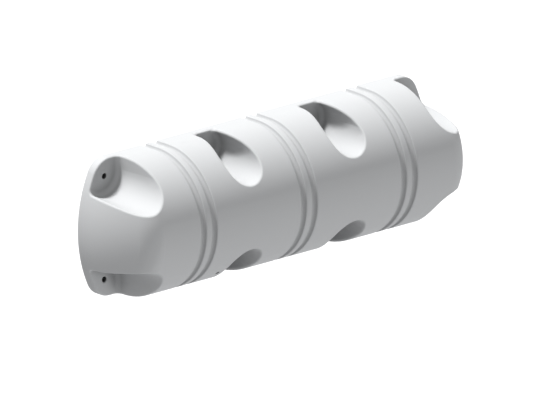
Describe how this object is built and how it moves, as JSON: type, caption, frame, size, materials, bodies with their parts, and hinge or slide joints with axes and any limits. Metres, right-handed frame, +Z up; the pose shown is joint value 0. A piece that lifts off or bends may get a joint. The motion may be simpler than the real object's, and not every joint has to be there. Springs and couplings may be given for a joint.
{
  "type": "dock fender",
  "caption": "Half-round moulded dock fender with a flat back, paired grooves round the front, dished ends and recessed screw wells.",
  "frame": {"origin": "middle of the flat back face, halfway along the length and halfway up", "axes": "+X along the length, +Y square out of the flat back towards the quay or pile, +Z up as mounted; the round front faces -Y"},
  "size_m": [0.694, 0.1395, 0.22],
  "materials": {
    "fender_plastic": "satin, light grey white moulded plastic"
  },
  "bodies": {
    "root": {"fender_body": "fender_plastic"}
  },
  "joints": []
}
